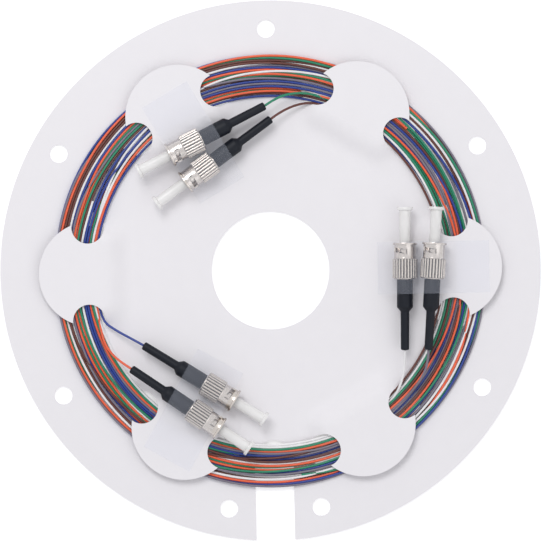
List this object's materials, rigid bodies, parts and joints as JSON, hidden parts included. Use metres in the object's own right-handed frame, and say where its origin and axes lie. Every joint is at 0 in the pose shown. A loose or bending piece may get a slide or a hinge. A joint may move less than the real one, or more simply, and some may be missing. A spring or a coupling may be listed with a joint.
{
  "type": "fiber optic patch cord",
  "caption": "Round storage card with colour-coded fibre pigtails wound under its lifted tabs and bayonet connectors taped down in pairs.",
  "frame": {"origin": "centre of the hub hole on the card's back face", "axes": "+Z out of the card's front, -Y towards the slot in the rim"},
  "size_m": [0.2, 0.1997, 0.0154],
  "materials": {
    "card_board": "matte",
    "fibre_mixed": "satin",
    "clear_tape": "satin",
    "nickel": "satin",
    "steel": "satin",
    "zirconia": "polished",
    "cap_plastic": "satin",
    "boot_rubber": "matte",
    "fibre_green": "satin",
    "fibre_brown": "satin",
    "fibre_white": "satin",
    "fibre_slate": "satin",
    "fibre_blue": "satin",
    "fibre_orange": "satin"
  },
  "bodies": {
    "root": {"card": "card_board", "fibre_coil": "fibre_mixed", "green_backbone": "nickel", "green_ferrule": "zirconia", "green_spring": "steel", "green_boot": "boot_rubber", "green_fibre": "fibre_green", "brown_backbone": "nickel", "brown_ferrule": "zirconia", "brown_spring": "steel", "brown_boot": "boot_rubber", "brown_fibre": "fibre_brown", "white_backbone": "nickel", "white_ferrule": "zirconia", "white_spring": "steel", "white_boot": "boot_rubber", "white_fibre": "fibre_white", "slate_backbone": "nickel", "slate_ferrule": "zirconia", "slate_spring": "steel", "slate_boot": "boot_rubber", "slate_fibre": "fibre_slate", "blue_backbone": "nickel", "blue_ferrule": "zirconia", "blue_spring": "steel", "blue_boot": "boot_rubber", "blue_fibre": "fibre_blue", "orange_backbone": "nickel", "orange_ferrule": "zirconia", "orange_spring": "steel", "orange_boot": "boot_rubber", "orange_fibre": "fibre_orange"},
    "tab_60": {"tab_60": "card_board"},
    "tab_180": {"tab_180": "card_board"},
    "tab_300": {"tab_300": "card_board"},
    "green_brown_tape": {"green_brown_tape": "clear_tape"},
    "white_slate_tape": {"white_slate_tape": "clear_tape"},
    "blue_orange_tape": {"blue_orange_tape": "clear_tape"},
    "green_carrier": {"green_thrust_washer": "steel"},
    "green_nut": {"green_coupling_nut": "nickel"},
    "green_cap": {"green_dust_cap": "cap_plastic"},
    "brown_carrier": {"brown_thrust_washer": "steel"},
    "brown_nut": {"brown_coupling_nut": "nickel"},
    "brown_cap": {"brown_dust_cap": "cap_plastic"},
    "white_carrier": {"white_thrust_washer": "steel"},
    "white_nut": {"white_coupling_nut": "nickel"},
    "white_cap": {"white_dust_cap": "cap_plastic"},
    "slate_carrier": {"slate_thrust_washer": "steel"},
    "slate_nut": {"slate_coupling_nut": "nickel"},
    "slate_cap": {"slate_dust_cap": "cap_plastic"},
    "blue_carrier": {"blue_thrust_washer": "steel"},
    "blue_nut": {"blue_coupling_nut": "nickel"},
    "blue_cap": {"blue_dust_cap": "cap_plastic"},
    "orange_carrier": {"orange_thrust_washer": "steel"},
    "orange_nut": {"orange_coupling_nut": "nickel"},
    "orange_cap": {"orange_dust_cap": "cap_plastic"}
  },
  "joints": [
    {"name": "tab_60_fold", "type": "hinge", "parent": "root", "child": "tab_60", "pos_m": [0.0307, 0.05317, 0.0042], "axis": [0.866, -0.5, 0], "range_deg": [0, 60], "stiffness_Nm_per_rad": 0.004},
    {"name": "tab_180_fold", "type": "hinge", "parent": "root", "child": "tab_180", "pos_m": [-0.0614, 0, 0.0042], "axis": [0, 1, 0], "range_deg": [0, 60], "stiffness_Nm_per_rad": 0.004},
    {"name": "tab_300_fold", "type": "hinge", "parent": "root", "child": "tab_300", "pos_m": [0.0307, -0.05317, 0.0042], "axis": [-0.866, -0.5, 0], "range_deg": [0, 60], "stiffness_Nm_per_rad": 0.004},
    {"name": "green_brown_tape_lift", "type": "slide", "parent": "root", "child": "green_brown_tape", "axis": [0, 0, 1], "range_m": [0, 0.01]},
    {"name": "white_slate_tape_lift", "type": "slide", "parent": "root", "child": "white_slate_tape", "axis": [0, 0, 1], "range_m": [0, 0.01]},
    {"name": "blue_orange_tape_lift", "type": "slide", "parent": "root", "child": "blue_orange_tape", "axis": [0, 0, 1], "range_m": [0, 0.01]},
    {"name": "green_nut_travel", "type": "slide", "parent": "root", "child": "green_carrier", "axis": [-0.8965, -0.4431, 0], "range_m": [0, 0.002], "stiffness_N_per_m": 150, "deforming": ["green_spring"]},
    {"name": "green_nut_turn", "type": "hinge", "parent": "green_carrier", "child": "green_nut", "pos_m": [-0.0244, 0.0491, 0.00745], "axis": [-0.8965, -0.4431, 0], "continuous": true},
    {"name": "green_cap_pull", "type": "slide", "parent": "root", "child": "green_cap", "axis": [-0.8965, -0.4431, 0], "range_m": [0, 0.012]},
    {"name": "brown_nut_travel", "type": "slide", "parent": "root", "child": "brown_carrier", "axis": [-0.8151, -0.5793, 0], "range_m": [0, 0.002], "stiffness_N_per_m": 150, "deforming": ["brown_spring"]},
    {"name": "brown_nut_turn", "type": "hinge", "parent": "brown_carrier", "child": "brown_nut", "pos_m": [-0.0201, 0.0407, 0.00595], "axis": [-0.8151, -0.5793, 0], "continuous": true},
    {"name": "brown_cap_pull", "type": "slide", "parent": "root", "child": "brown_cap", "axis": [-0.8151, -0.5793, 0], "range_m": [0, 0.012]},
    {"name": "white_nut_travel", "type": "slide", "parent": "root", "child": "white_carrier", "axis": [0.0201, 0.9998, 0], "range_m": [0, 0.002], "stiffness_N_per_m": 150, "deforming": ["white_spring"]},
    {"name": "white_nut_turn", "type": "hinge", "parent": "white_carrier", "child": "white_nut", "pos_m": [0.0495, -0.0041, 0.00595], "axis": [0.0201, 0.9998, 0], "continuous": true},
    {"name": "white_cap_pull", "type": "slide", "parent": "root", "child": "white_cap", "axis": [0.0201, 0.9998, 0], "range_m": [0, 0.012]},
    {"name": "slate_nut_travel", "type": "slide", "parent": "root", "child": "slate_carrier", "axis": [0.0758, 0.9971, 0], "range_m": [0, 0.002], "stiffness_N_per_m": 150, "deforming": ["slate_spring"]},
    {"name": "slate_nut_turn", "type": "hinge", "parent": "slate_carrier", "child": "slate_nut", "pos_m": [0.0595, -0.0042, 0.00928], "axis": [0.0758, 0.9971, 0], "continuous": true},
    {"name": "slate_cap_pull", "type": "slide", "parent": "root", "child": "slate_cap", "axis": [0.0758, 0.9971, 0], "range_m": [0, 0.012]},
    {"name": "blue_nut_travel", "type": "slide", "parent": "root", "child": "blue_carrier", "axis": [0.842, -0.5395, 0], "range_m": [0, 0.002], "stiffness_N_per_m": 150, "deforming": ["blue_spring"]},
    {"name": "blue_nut_turn", "type": "hinge", "parent": "blue_carrier", "child": "blue_nut", "pos_m": [-0.0253, -0.0408, 0.00595], "axis": [0.842, -0.5395, 0], "continuous": true},
    {"name": "blue_cap_pull", "type": "slide", "parent": "root", "child": "blue_cap", "axis": [0.842, -0.5395, 0], "range_m": [0, 0.012]},
    {"name": "orange_nut_travel", "type": "slide", "parent": "root", "child": "orange_carrier", "axis": [0.8176, -0.5757, 0], "range_m": [0, 0.002], "stiffness_N_per_m": 150, "deforming": ["orange_spring"]},
    {"name": "orange_nut_turn", "type": "hinge", "parent": "orange_carrier", "child": "orange_nut", "pos_m": [-0.0305, -0.0502, 0.00902], "axis": [0.8176, -0.5757, 0], "continuous": true},
    {"name": "orange_cap_pull", "type": "slide", "parent": "root", "child": "orange_cap", "axis": [0.8176, -0.5757, 0], "range_m": [0, 0.012]}
  ]
}
